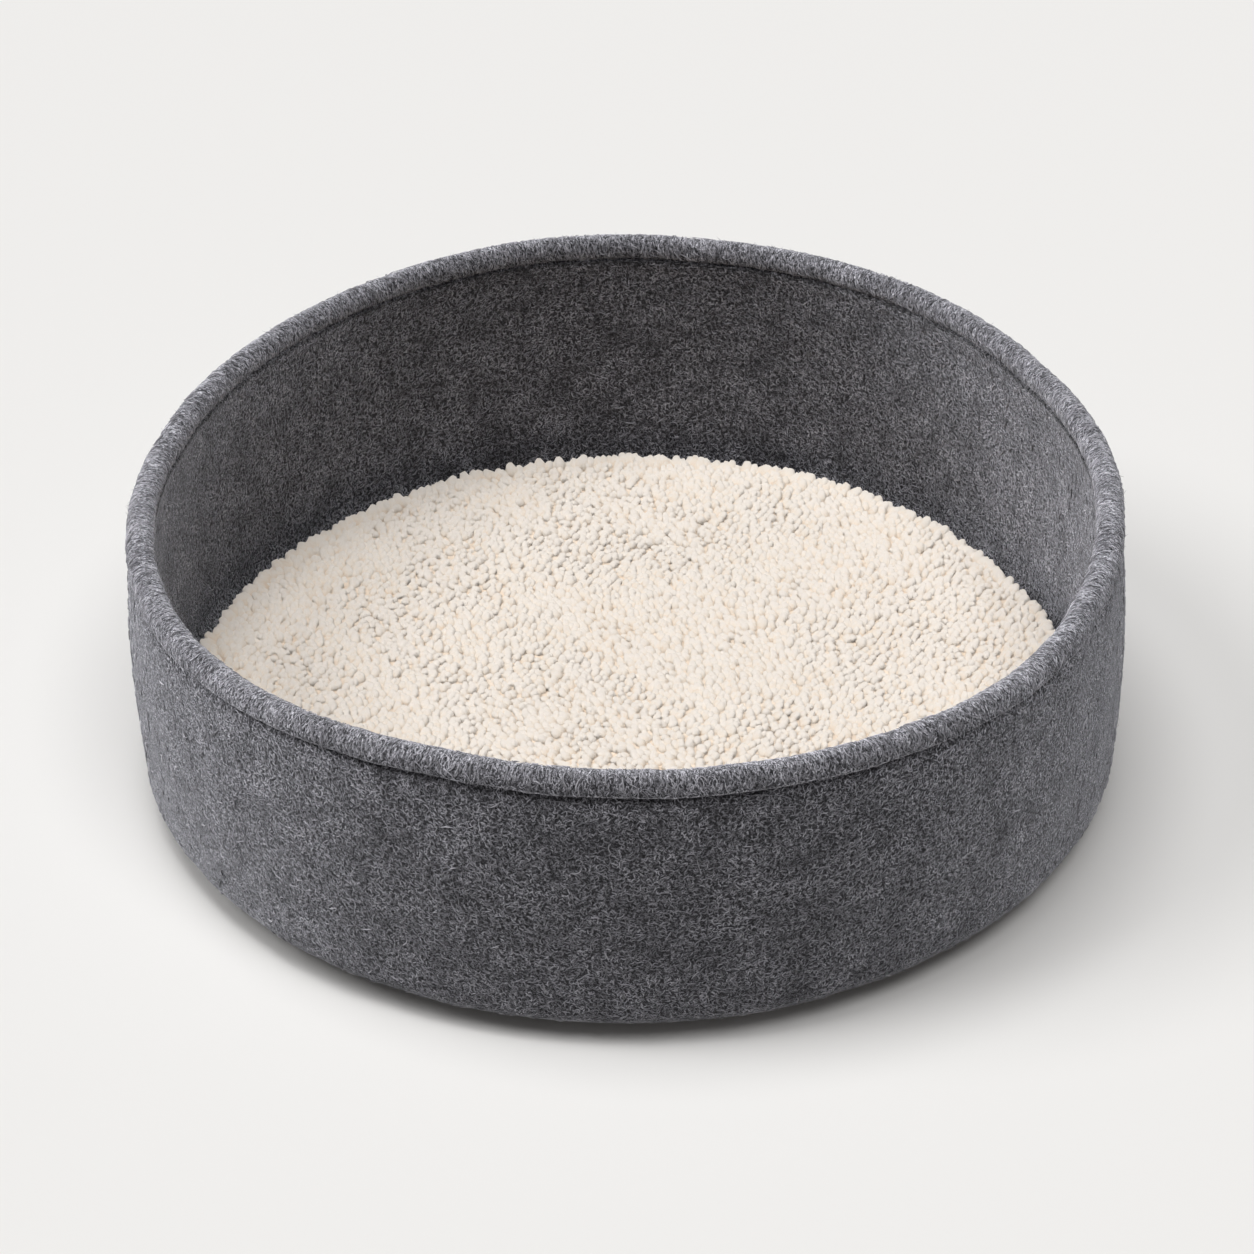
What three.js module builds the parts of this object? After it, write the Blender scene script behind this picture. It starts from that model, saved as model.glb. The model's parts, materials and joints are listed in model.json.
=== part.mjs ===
// A round cat bed: a tub of thick wool felt, its top edge turned over and stitched down as a hem,
// with a loose round fleece pad on its floor. Millimetres, +Z up, standing on z = 0.
import * as THREE from 'three';
import { mergeVertices } from 'three/addons/utils/BufferGeometryUtils.js';

// Driving dimensions of the tub
const rimRadius = 250;        // outside of the turned rim, before it goes out of round
const tubHeight = 156;        // up to the top of the rim
const wallThickness = 12;     // felt, all the way down
const floorThickness = 12;
const wallBulge = 2.8;        // how far the wall swells between the hem and the lower edge
const lowerEdgeWidth = 45;    // rounded lower edge, measured inward and upward
const lowerEdgeHeight = 22;
const innerEdgeWidth = 26;    // the same edge inside
const innerEdgeHeight = 18;

// The hem: the felt turned outward over the top
const rimWidth = 13.6;        // across the rolled top
const hemDepth = 9.7;         // from the top down to the cut edge, outside
const hemStep = 1.5;          // how far the cut edge stands off the wall
const stitchDepth = 10.2;     // from the top down to the stitched groove, inside
const grooveDepth = 0.9;
const grooveWidth = 2.4;

// The pad
const padThickness = 22;      // with its pile
const padCrown = 2.5;         // how much of that is the swell in the middle
const padSideGap = 1.5;       // between the pile and the wall
const padSeat = 0.3;          // between the pad and the floor
const padFlatRadius = 204;    // flat underside
const padLock = 1.1;          // how far the locks round its edge stand in and out
const padLocks = 60;
const padLump = 0.7;          // height of the soft lumps in the top

// The rim is not a true circle. Each row is a wave that goes `waves` times round it: how far it
// moves the rim outward and upward, in its cosine and sine parts, in millimetres.
const unevenness = [
  { waves: 1, outCos: 0, outSin: 0, upCos: 2.4, upSin: 2.7 },
  { waves: 2, outCos: -3.1, outSin: -0.8, upCos: -2.7, upSin: -0.4 },
  { waves: 3, outCos: -1.7, outSin: -1.6, upCos: 1.7, upSin: 0.9 },
  { waves: 7, outCos: 0.3, outSin: 0.4, upCos: 0.2, upSin: -0.3 },
];
// The axis of the round base, placed so that the uneven bed's box is centred on the origin
const axisX = 0.6;
const axisY = -0.8;

const tubSegments = 90;
const padSegments = 120;

// Moves every point of a turned shape as the uneven rim pulls it: the wall leans with it, and the
// base stays round and flat. More unevenness may be added by `extra`.
function settle(geometry, extra) {
  const position = geometry.attributes.position;
  for (let i = 0; i < position.count; i += 1) {
    const x = position.getX(i);
    const y = position.getY(i);
    const z = position.getZ(i);
    const radius = Math.hypot(x, y);
    const angle = radius > 0.001 ? Math.atan2(y, x) : 0;
    const share = z / tubHeight;
    let out = 0;
    let up = 0;
    for (const row of unevenness) {
      const c = Math.cos(row.waves * angle);
      const s = Math.sin(row.waves * angle);
      out += (row.outCos * c + row.outSin * s) * share;
      up += (row.upCos * c + row.upSin * s) * share * share;
    }
    const more = extra ? extra(radius, angle, z) : { out: 0, up: 0 };
    const nearAxis = Math.min(1, radius / 60);
    const newRadius = radius + (out + more.out) * nearAxis;
    const newHeight = z + (up + more.up) * nearAxis;
    position.setXYZ(i, newRadius * Math.cos(angle), newRadius * Math.sin(angle), newHeight);
  }
}

// Turns a half-section round the Z axis. Its first and last points lie on the axis.
function turned(section, segments, extra) {
  const geometry = new THREE.LatheGeometry(section, segments);
  geometry.rotateX(Math.PI / 2);
  geometry.deleteAttribute('uv');
  geometry.deleteAttribute('normal');
  settle(geometry, extra);
  return mergeVertices(geometry, 1e-4);
}

// Points on a quarter ellipse round a centre, from one angle to another, ends included.
function arc(centreX, centreY, across, along, from, to, steps) {
  const points = [];
  for (let i = 0; i <= steps; i += 1) {
    const t = from + (to - from) * (i / steps);
    points.push(new THREE.Vector2(centreX + across * Math.cos(t), centreY + along * Math.sin(t)));
  }
  return points;
}

// Outside of the wall at a height: it swells evenly between the lower edge and the hem.
function wallRadius(z) {
  const top = tubHeight - hemDepth;
  const share = Math.max(0, Math.min(1, (z - lowerEdgeHeight) / (top - lowerEdgeHeight)));
  return rimRadius - hemStep / 2 + wallBulge * Math.sin(Math.PI * share);
}

function tubSection() {
  const down = -Math.PI / 2;
  const footRadius = wallRadius(lowerEdgeHeight) - lowerEdgeWidth;
  const section = [new THREE.Vector2(0, 0)];
  section.push(...arc(footRadius, lowerEdgeHeight, lowerEdgeWidth, lowerEdgeHeight, down, 0, 7));

  const wallTop = tubHeight - hemDepth - 1.4;
  const wallSteps = 6;
  for (let i = 1; i <= wallSteps; i += 1) {
    const z = lowerEdgeHeight + (wallTop - lowerEdgeHeight) * (i / wallSteps);
    section.push(new THREE.Vector2(wallRadius(z), z));
  }

  // Under the cut edge, the cut edge itself, and the roll over the top
  section.push(new THREE.Vector2(rimRadius - hemStep - 0.2, tubHeight - hemDepth - 0.3));
  section.push(new THREE.Vector2(rimRadius - 0.2, tubHeight - hemDepth));
  const rollRadius = rimWidth / 2;
  const rollMiddle = rimRadius - rollRadius;
  section.push(...arc(rollMiddle, tubHeight - rollRadius, rollRadius, rollRadius, 0, Math.PI, 9));

  // The stitched groove inside, and the inner wall below it
  const inner = rimRadius - rimWidth;
  const grooveMiddle = tubHeight - stitchDepth;
  section.push(new THREE.Vector2(inner + 0.1, grooveMiddle + grooveWidth / 2));
  section.push(new THREE.Vector2(inner + grooveDepth, grooveMiddle));
  section.push(new THREE.Vector2(inner + 0.2, grooveMiddle - grooveWidth / 2));
  const innerTop = grooveMiddle - 8;
  const innerBottom = floorThickness + innerEdgeHeight;
  const innerSteps = 5;
  for (let i = 0; i < innerSteps; i += 1) {
    const z = innerTop + (innerBottom - innerTop) * (i / innerSteps);
    section.push(new THREE.Vector2(wallRadius(z) - wallThickness, z));
  }
  const innerFoot = wallRadius(innerBottom) - wallThickness - innerEdgeWidth;
  section.push(...arc(innerFoot, innerBottom, innerEdgeWidth, innerEdgeHeight, 0, down, 5));
  section.push(new THREE.Vector2(0, floorThickness));
  return section;
}

function feltTub() {
  const material = new THREE.MeshStandardMaterial({ color: 0x5b5d62, roughness: 0.95, metalness: 0 });
  const mesh = new THREE.Mesh(turned(tubSection(), tubSegments), material);
  mesh.name = 'felt_tub';
  return mesh;
}

// The pad's half-section: flat below, drawn in at the foot of its side, fullest near the top.
function padSection() {
  const bottom = floorThickness + padSeat;
  const edgeHeight = padThickness - padCrown;
  const fullest = wallRadius(lowerEdgeHeight) - wallThickness - padSideGap - padLock;
  const fullestHeight = bottom + edgeHeight * 0.72;
  const section = [new THREE.Vector2(0, bottom)];
  const lowerSteps = 4;
  for (let i = 0; i <= lowerSteps; i += 1) {
    const t = (Math.PI / 2) * (i / lowerSteps);
    const radius = padFlatRadius + (fullest - padFlatRadius) * Math.sin(t);
    section.push(new THREE.Vector2(radius, fullestHeight - (fullestHeight - bottom) * Math.cos(t)));
  }
  const shoulder = bottom + edgeHeight - fullestHeight;
  section.push(...arc(fullest - 11, fullestHeight, 11, shoulder, 0, Math.PI / 2, 3).slice(1));
  const shoulderRadius = fullest - 11;
  const crownSteps = 8;
  for (let i = 1; i <= crownSteps; i += 1) {
    const share = i / crownSteps;
    const radius = shoulderRadius * (1 - share);
    const z = bottom + edgeHeight + padCrown * (1 - (1 - share) * (1 - share));
    section.push(new THREE.Vector2(radius, z));
  }
  return section;
}

// Locks round the edge and soft lumps in the top of the pad
function padRelief(radius, angle, z) {
  const fromFloor = z - floorThickness - padSeat;
  const high = Math.max(0, Math.min(1, fromFloor / 8));
  const atEdge = radius > padFlatRadius ? high : 0;
  const lock = Math.sin(padLocks * angle + 1.3 * Math.sin(5 * angle));
  const x = radius * Math.cos(angle);
  const y = radius * Math.sin(angle);
  const lump = Math.sin(x / 13 + 1.7 * Math.sin(y / 31)) * Math.sin(y / 15 + 1.1 * Math.sin(x / 27));
  const onTop = fromFloor > padThickness / 2 ? 1 : 0;
  return { out: padLock * lock * atEdge, up: padLump * lump * onTop };
}

function fleecePad() {
  const material = new THREE.MeshStandardMaterial({ color: 0xf0e8de, roughness: 1, metalness: 0 });
  const mesh = new THREE.Mesh(turned(padSection(), padSegments, padRelief), material);
  mesh.name = 'fleece_pad';
  return mesh;
}

const bed = new THREE.Group();
bed.position.set(axisX, axisY, 0);
bed.add(feltTub(), fleecePad());

export default bed;
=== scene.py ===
# %% [markdown]
# A round felt cat bed, dressed in Blender.
# The bed is a tub of thick grey wool felt whose top edge is turned over and stitched down, with a
# loose cream fleece pad on its floor. The construction comes in as a fixed frame of plain solids,
# and this lesson makes what is seen: felt with its fibres, the stitches, and the curly pile.
# Everything is in metres, +Z is up, and the bed stands on z = 0.

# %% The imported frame
import json
import math

import bpy
import numpy as np
from mathutils import Euler, Matrix, Vector
from mathutils.bvhtree import BVHTree

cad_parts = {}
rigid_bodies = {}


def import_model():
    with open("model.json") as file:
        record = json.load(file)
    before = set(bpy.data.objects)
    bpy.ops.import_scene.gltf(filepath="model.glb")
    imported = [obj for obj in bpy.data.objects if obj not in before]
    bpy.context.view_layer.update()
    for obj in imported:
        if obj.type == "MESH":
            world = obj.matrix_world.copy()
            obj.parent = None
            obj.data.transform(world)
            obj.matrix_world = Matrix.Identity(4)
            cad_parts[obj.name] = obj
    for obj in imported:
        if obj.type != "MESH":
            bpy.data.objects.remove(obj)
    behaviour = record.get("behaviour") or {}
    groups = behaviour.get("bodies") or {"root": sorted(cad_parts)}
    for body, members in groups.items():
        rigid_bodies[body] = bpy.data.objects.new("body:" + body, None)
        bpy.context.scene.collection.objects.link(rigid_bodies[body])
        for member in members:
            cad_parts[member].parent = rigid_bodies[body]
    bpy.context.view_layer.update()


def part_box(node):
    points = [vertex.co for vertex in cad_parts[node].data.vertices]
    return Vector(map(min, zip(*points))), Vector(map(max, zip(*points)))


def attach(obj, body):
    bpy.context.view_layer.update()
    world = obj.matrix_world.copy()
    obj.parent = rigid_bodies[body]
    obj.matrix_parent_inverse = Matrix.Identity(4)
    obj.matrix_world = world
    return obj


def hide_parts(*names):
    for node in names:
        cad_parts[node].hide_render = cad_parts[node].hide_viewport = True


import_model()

MM = 0.001
TAU = 2 * math.pi
tub_low, tub_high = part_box("felt_tub")
print("the frame's bed measures", [round(b - a, 4) for a, b in zip(tub_low, tub_high)])

# %% [markdown]
# The camera comes first, so that every piece can be judged in the picture's own view. It stands
# two metres from the bed and looks down at it with a long lens, so the rim is a calm ellipse. The
# picture is square. It is turned by not quite a degree, which is how the bed stands in the photo.

# %% Camera
CAMERA_ABOVE_HORIZON = math.radians(34.0)
CAMERA_TURN = math.radians(-0.9)
CAMERA_DISTANCE = 2035 * MM
CAMERA_AIM = Vector((-0.3 * MM, -0.8 * MM, 69.7 * MM))
PICTURE_WIDTH = 1254
FOCAL_PIXELS = 4000
SENSOR_MM = 36.0


def photo_camera():
    """A camera at the photograph's place, with its lens."""
    lens = bpy.data.cameras.new("photo_camera")
    lens.sensor_width = SENSOR_MM
    lens.lens = SENSOR_MM * FOCAL_PIXELS / PICTURE_WIDTH
    lens.clip_end = 50
    camera = bpy.data.objects.new("photo_camera", lens)
    bpy.context.scene.collection.objects.link(camera)
    tilt = Euler((math.pi / 2 - CAMERA_ABOVE_HORIZON, 0, 0)).to_matrix().to_4x4()
    back = Vector((0, -math.cos(CAMERA_ABOVE_HORIZON), math.sin(CAMERA_ABOVE_HORIZON)))
    place = Matrix.Translation(CAMERA_AIM + back * CAMERA_DISTANCE)
    camera.matrix_world = place @ tilt @ Matrix.Rotation(CAMERA_TURN, 4, "Z")
    return camera


bpy.context.scene.camera = photo_camera()
print("lens", round(bpy.context.scene.camera.data.lens, 1), "mm")

# %% [markdown]
# The tub is a turned form, so its sizes are those of one half-section: how high it stands, how
# wide its rolled rim is, how far the cut edge of the hem stands off the wall. They are the same
# named sizes as the frame's, but for what is for the eye alone: the turned-down edge flares a
# little, the wall is drawn in under it, and the groove of the stitches is deeper, so that both keep
# their dark line. A real felt tub is never quite round or level, so a short table says how far the
# rim leaves the circle: each row is a wave that goes so many times round it.

# %% Sizes of the tub
RIM_RADIUS = 250 * MM
TUB_HEIGHT = 156 * MM
WALL = 12 * MM
FLOOR = 12 * MM
WALL_BULGE = 2.8 * MM
LOWER_EDGE = (45 * MM, 22 * MM)
INNER_EDGE = (26 * MM, 18 * MM)
RIM_WIDTH = 13.6 * MM
HEM_DEPTH = 9.7 * MM
HEM_STEP = 1.5 * MM
HEM_FLARE = 0.4 * MM
HEM_DRAW = 1.9 * MM
HEM_DRAW_REACH = 4.5 * MM  # how far below the cut edge the wall is drawn in
STITCH_DEPTH = 10.2 * MM
GROOVE_DEPTH = 1.4 * MM
GROOVE_WIDTH = 2.6 * MM
AXIS = np.array([0.6 * MM, -0.8 * MM, 0.0])
UNEVENNESS = [
    dict(waves=1, out_cos=0.0, out_sin=0.0, up_cos=2.4, up_sin=2.7),
    dict(waves=2, out_cos=-3.1, out_sin=-0.8, up_cos=-2.7, up_sin=-0.4),
    dict(waves=3, out_cos=-1.7, out_sin=-1.6, up_cos=1.7, up_sin=0.9),
    dict(waves=7, out_cos=0.3, out_sin=0.4, up_cos=0.2, up_sin=-0.3),
]


def settled(radius, angle, height):
    """Where a point of the turned form ends up once the rim is as uneven as the real one."""
    share = height / TUB_HEIGHT
    out, up = 0.0, 0.0
    for row in UNEVENNESS:
        c, s = np.cos(row["waves"] * angle), np.sin(row["waves"] * angle)
        out = out + (row["out_cos"] * c + row["out_sin"] * s) * MM * share
        up = up + (row["up_cos"] * c + row["up_sin"] * s) * MM * share**2
    near_axis = np.minimum(1, radius / (60 * MM))
    r = radius + out * near_axis
    flat = np.stack([r * np.cos(angle), r * np.sin(angle), height + up * near_axis], -1)
    return flat + AXIS


def wall_radius(height):
    """Outside of the wall at a height: it swells evenly between the lower edge and the hem."""
    top = TUB_HEIGHT - HEM_DEPTH
    share = np.clip((height - LOWER_EDGE[1]) / (top - LOWER_EDGE[1]), 0, 1)
    return RIM_RADIUS - HEM_STEP / 2 + WALL_BULGE * np.sin(math.pi * share)


# %% The half-section of the tub
def arc(centre, across, along, start, end, steps):
    """Points on an ellipse round a centre, from one angle to another, ends included."""
    turn = np.linspace(start, end, steps + 1)
    return np.stack([centre[0] + across * np.cos(turn), centre[1] + along * np.sin(turn)], 1)


def tub_section():
    """The felt's outline from the middle of the base, out, up, over the rim and back inside."""
    quarter = math.pi / 2
    foot = wall_radius(LOWER_EDGE[1]) - LOWER_EDGE[0]
    base = np.stack([np.linspace(0, foot, 9)[:-1], np.zeros(8)], 1)
    lower = arc((foot, LOWER_EDGE[1]), *LOWER_EDGE, -quarter, 0, 20)
    cut = TUB_HEIGHT - HEM_DEPTH
    z = np.linspace(LOWER_EDGE[1], cut - 14 * MM, 36)[1:]
    z = np.append(z, np.linspace(cut - 12 * MM, cut - 3 * MM, 6))
    drawn_in = HEM_DRAW * np.exp(-((cut - z) / HEM_DRAW_REACH) ** 2)
    wall = np.stack([wall_radius(z) - drawn_in, z], 1)
    hem = np.array([  # inward from the rim's outside, and up from the cut edge, in mm
        [2.3, -2.2], [2.6, -1.4], [2.9, -0.8], [3.1, -0.4], [3.0, -0.1], [1.6, -0.05],
        [0.7, 0.05], [0.25, 0.35], [0.02, 0.9], [0.0, 1.6], [0.0, 2.2],
    ]) * MM
    hem = np.stack([RIM_RADIUS - hem[:, 0], cut + hem[:, 1]], 1)
    roll = RIM_WIDTH / 2
    rim = arc((RIM_RADIUS - roll, TUB_HEIGHT - roll), roll, roll, 0, math.pi, 22)
    for turned_down in (hem[6:], rim[:11]):
        up = (turned_down[:, 1] - cut - 0.9 * MM) / (2.2 * MM)
        turned_down[:, 0] += HEM_FLARE * np.exp(-up * up)
    inside = RIM_RADIUS - RIM_WIDTH
    groove = TUB_HEIGHT - STITCH_DEPTH
    inner_bottom = FLOOR + INNER_EDGE[1]
    z = np.linspace(TUB_HEIGHT - roll, inner_bottom, 40)[1:-1]
    z = np.sort(np.concatenate([z, groove + np.linspace(-1.2, 1.2, 7) * MM]))[::-1]
    blend = np.clip((groove - z) / (9 * MM), 0, 1)
    blend = blend * blend * (3 - 2 * blend)
    radius = inside + (wall_radius(z) - WALL - inside) * blend
    radius = radius + GROOVE_DEPTH * np.exp(-((z - groove) / (GROOVE_WIDTH * 0.35)) ** 2)
    inner_wall = np.stack([radius, z], 1)
    inner_foot = wall_radius(inner_bottom) - WALL - INNER_EDGE[0]
    inner_edge = arc((inner_foot, inner_bottom), *INNER_EDGE, 0, -quarter, 12)
    floor = np.stack([np.linspace(inner_foot, 0, 9)[1:], np.full(8, FLOOR)], 1)
    parts = dict(base=base, lower=lower, wall=wall, hem=hem, rim=rim)
    parts.update(inner_wall=inner_wall, inner_edge=inner_edge, floor=floor)
    return parts


SECTION_PARTS = tub_section()
SECTION = np.concatenate(list(SECTION_PARTS.values()))
STEPS = np.linalg.norm(np.diff(SECTION, axis=0), axis=1)
ALONG = np.concatenate([[0], np.cumsum(STEPS)])
LENGTH = ALONG[-1]
SLOPE = np.gradient(SECTION, ALONG, axis=0)
SLOPE = SLOPE / np.linalg.norm(SLOPE, axis=1)[:, None]


def along_at(part, which=0):
    """How far along the section a named part's point lies."""
    before = 0
    for name, points in SECTION_PARTS.items():
        if name == part:
            return ALONG[before + which % len(points)]
        before += len(points)


ALONG_CUT = along_at("hem", 4)
ALONG_RIM_TOP = along_at("rim", 11)
ALONG_STITCH = along_at("inner_wall", 0) + (STITCH_DEPTH - RIM_WIDTH / 2)
print("section:", len(SECTION), "points,", round(LENGTH / MM), "mm of felt from middle to middle")

# %% [markdown]
# A maker of turned shapes in Blender draws the half-section as one chain of edges and spins it
# round the axis. The chain starts as a small plane that is merged to a single point, and each next
# point is extruded from the last. Spin then makes the walls, and merging the doubles closes the
# seam and the two poles.

# %% Helpers for modelling by hand
def deselect():
    """Operators act on all that is selected, so each step starts from nothing."""
    bpy.ops.object.select_all(action="DESELECT")


def only(thing):
    """Makes one object the selected and active one."""
    deselect()
    thing.select_set(True)
    bpy.context.view_layer.objects.active = thing
    return thing


def named(name):
    """Names the object that an operator just made, and its mesh."""
    thing = bpy.context.active_object
    thing.name = name
    thing.data.name = name
    return thing


def edge_chain(name, points):
    """A chain of edges through the points, extruded one from the other."""
    deselect()
    bpy.ops.mesh.primitive_plane_add(size=MM, location=(0, 0, 0))
    thing = named(name)
    bpy.ops.object.mode_set(mode="EDIT")
    bpy.ops.mesh.select_all(action="SELECT")
    bpy.ops.mesh.merge(type="CENTER")
    bpy.ops.transform.translate(value=points[0])
    for before, after in zip(points[:-1], points[1:]):
        step = tuple(after - before)
        bpy.ops.mesh.extrude_region_move(TRANSFORM_OT_translate={"value": step})
    bpy.ops.object.mode_set(mode="OBJECT")
    return thing


def apply_modifiers(thing):
    only(thing)
    for modifier in list(thing.modifiers):
        bpy.ops.object.modifier_apply(modifier=modifier.name)


def points_of(thing):
    """The mesh's points as an array."""
    flat = np.empty(len(thing.data.vertices) * 3, np.float64)
    thing.data.vertices.foreach_get("co", flat)
    return flat.reshape(-1, 3)


def set_points(thing, points):
    thing.data.vertices.foreach_set("co", np.ascontiguousarray(points, np.float32).ravel())
    thing.data.update()


def smooth(thing):
    only(thing)
    bpy.ops.object.shade_smooth()


def triangles(thing):
    """How many triangles the piece's faces come to."""
    return sum(len(p.vertices) - 2 for p in thing.data.polygons)


# %% Turning the tub
TURNS = 420


def turned_tub():
    """The tub as a spun mesh, still perfectly round."""
    flat = np.stack([SECTION[:, 0], np.zeros(len(SECTION)), SECTION[:, 1]], 1)
    tub = edge_chain("tub_felt", [Vector(p) for p in flat])
    bpy.ops.object.mode_set(mode="EDIT")
    bpy.ops.mesh.select_all(action="SELECT")
    bpy.ops.mesh.spin(steps=TURNS, angle=TAU, center=(0, 0, 0), axis=(0, 0, 1))
    bpy.ops.mesh.select_all(action="SELECT")
    bpy.ops.mesh.remove_doubles(threshold=0.01 * MM)
    bpy.ops.mesh.normals_make_consistent(inside=False)
    bpy.ops.object.mode_set(mode="OBJECT")
    return tub


tub = turned_tub()
print("tub:", len(tub.data.vertices), "points,", triangles(tub), "triangles")

# %% [markdown]
# Felt is a mat of pressed wool, so a pattern on it has to follow the cloth and not the room. Each
# point knows how far round the bed and how far along the section it lies, and these two lengths
# become the UV map, in metres. The seam of the map runs up the back.

# %% The map of the cloth
def nearest_along(radius, height):
    """For each point, how far along the section it lies."""
    best = np.zeros(len(radius))
    least = np.full(len(radius), np.inf)
    for (r, z), along in zip(SECTION, ALONG):
        distance = (radius - r) ** 2 + (height - z) ** 2
        closer = distance < least
        best[closer] = along
        least[closer] = distance[closer]
    return best


def map_cloth(thing, along, angle):
    """Writes a UV map in metres: round the rim, and along the section."""
    mesh = thing.data
    corners = np.empty(len(mesh.loops), np.int64)
    mesh.loops.foreach_get("vertex_index", corners)
    starts = np.empty(len(mesh.polygons), np.int64)
    mesh.polygons.foreach_get("loop_start", starts)
    face = np.searchsorted(starts, np.arange(len(corners)), side="right") - 1
    turn = angle[corners]
    highest = np.full(len(starts), -np.inf)
    np.maximum.at(highest, face, turn)
    turn = np.where(highest[face] - turn > math.pi, turn + TAU, turn)
    uv = np.stack([turn * RIM_RADIUS, along[corners]], 1)
    while mesh.uv_layers:
        mesh.uv_layers.remove(mesh.uv_layers[0])
    layer = mesh.uv_layers.new(name="cloth")
    layer.data.foreach_set("uv", uv.astype(np.float32).ravel())


round_points = points_of(tub)
tub_radius = np.hypot(round_points[:, 0], round_points[:, 1])
tub_angle = np.mod(np.arctan2(round_points[:, 1], round_points[:, 0]) + 1.5 * math.pi, TAU)
tub_along = nearest_along(tub_radius, round_points[:, 2])
map_cloth(tub, tub_along, tub_angle)

# %% [markdown]
# Now the turned tub is settled into its real, slightly uneven shape, and given what hand work
# leaves in thick felt: slow swells in the wall, a hem that is a little wider here and narrower
# there, and small lumps of wool all over. The lumps come from a Displace modifier, which stays off
# the base, so the bed still stands flat.

# %% Settling the tub
WALL_SWELL = 0.35 * MM
EDGE_WANDER = 0.45 * MM  # how far the hem's cut edge strays up and down
RIM_WANDER = 0.25 * MM
BASE_KEPT_FLAT = 15 * MM  # the unevenness fades out over this height
LUMP_SIZE = 7 * MM
LUMP_DEPTH = 0.7 * MM


def slow_wave(angle, along, seed):
    """A calm unevenness of the cloth, about -1 to 1, that closes on itself round the bed."""
    rng = np.random.default_rng(seed)
    total = np.zeros_like(angle)
    for waves in (5, 8, 13, 21, 34):
        phase, rise = rng.uniform(0, TAU), rng.uniform(-30, 30)
        total += np.sin(waves * angle + phase + rise * along) / math.sqrt(5)
    return total


def wall_swell(angle, along, height):
    """How far the felt swells outward or inward at a place."""
    return WALL_SWELL * slow_wave(angle, along, 3) * np.clip(height / BASE_KEPT_FLAT, 0, 1)


def settle_tub():
    """Moves the turned mesh to its settled shape."""
    height = round_points[:, 2]
    angle = np.arctan2(round_points[:, 1], round_points[:, 0])
    off_base = np.clip(height / BASE_KEPT_FLAT, 0, 1)
    near_cut = np.exp(-((tub_along - ALONG_CUT) / (4 * MM)) ** 2)
    near_rim = np.exp(-((tub_along - ALONG_RIM_TOP) / (14 * MM)) ** 2)
    out = wall_swell(angle, tub_along, height)
    up = EDGE_WANDER * slow_wave(angle, tub_along * 0, 5) * near_cut
    up = up + RIM_WANDER * slow_wave(angle * 2, tub_along * 0, 8) * near_rim
    set_points(tub, settled(tub_radius + out * (tub_radius > 0.1), angle, height + up * off_base))


def wool_lumps(thing, size, depth, group):
    """Raises small soft lumps on a mesh with a cloud texture."""
    clouds = bpy.data.textures.new("wool_lumps", "CLOUDS")
    clouds.noise_scale = size
    clouds.noise_depth = 1
    lumps = thing.modifiers.new("lumps", "DISPLACE")
    lumps.texture = clouds
    lumps.texture_coords = "LOCAL"
    lumps.strength = depth
    lumps.mid_level = 0.5
    lumps.vertex_group = group
    apply_modifiers(thing)


settle_tub()
free_felt = tub.vertex_groups.new(name="free_felt")
raised = np.nonzero(round_points[:, 2] > 1.5 * MM)[0]
free_felt.add([int(i) for i in raised], 1.0, "REPLACE")
wool_lumps(tub, LUMP_SIZE, LUMP_DEPTH, "free_felt")
smooth(tub)
print("settled tub stands", round(points_of(tub)[:, 2].max() / MM, 1), "mm high")

# %% [markdown]
# The felt's loose fibres give it its heathered, slightly hairy look. Each is a very thin
# three-sided tube that lies on the cloth in a small curve, and some stand off it. They are many
# and alike, so they are worked out as arrays: a fibre's path is drawn on the map of the cloth, as
# a distance round and a distance along, and lifted off the surface a little.

# %% A point on the settled cloth
def on_cloth(angle, along, lift):
    """The point at an angle round the bed and a distance along the section, lifted off it."""
    r = np.interp(along, ALONG, SECTION[:, 0])
    z = np.interp(along, ALONG, SECTION[:, 1])
    slope_r = np.interp(along, ALONG, SLOPE[:, 0])
    slope_z = np.interp(along, ALONG, SLOPE[:, 1])
    r = r + wall_swell(angle, along, z)
    return settled(r + lift * slope_z, angle, z - lift * slope_r)


def mesh_from_arrays(name, points, faces, tone=None):
    """A mesh object from arrays: faces is a list of index arrays, one for each number of corners."""
    mesh = bpy.data.meshes.new(name)
    mesh.vertices.add(len(points))
    mesh.vertices.foreach_set("co", np.ascontiguousarray(points, np.float32).ravel())
    corners = np.concatenate([f.ravel() for f in faces])
    sizes = np.concatenate([np.full(len(f), f.shape[1]) for f in faces])
    mesh.loops.add(len(corners))
    mesh.loops.foreach_set("vertex_index", corners.astype(np.int32))
    mesh.polygons.add(len(sizes))
    starts = np.concatenate([[0], np.cumsum(sizes)[:-1]])
    mesh.polygons.foreach_set("loop_start", starts.astype(np.int32))
    mesh.polygons.foreach_set("use_smooth", np.ones(len(sizes), bool))
    mesh.update(calc_edges=True)
    if tone is not None:
        attribute = mesh.attributes.new("tone", "FLOAT", "POINT")
        attribute.data.foreach_set("value", np.ascontiguousarray(tone, np.float32))
    thing = bpy.data.objects.new(name, mesh)
    bpy.context.scene.collection.objects.link(thing)
    return thing


# %% Fibres as joined meshes
FIBRE_POINTS = 5
FIBRE_SIDES = 3
LOOSE_ON_WALL = 0.06  # share of the fibres that stand off the cloth
LOOSE_ON_RIM = 0.14


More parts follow.
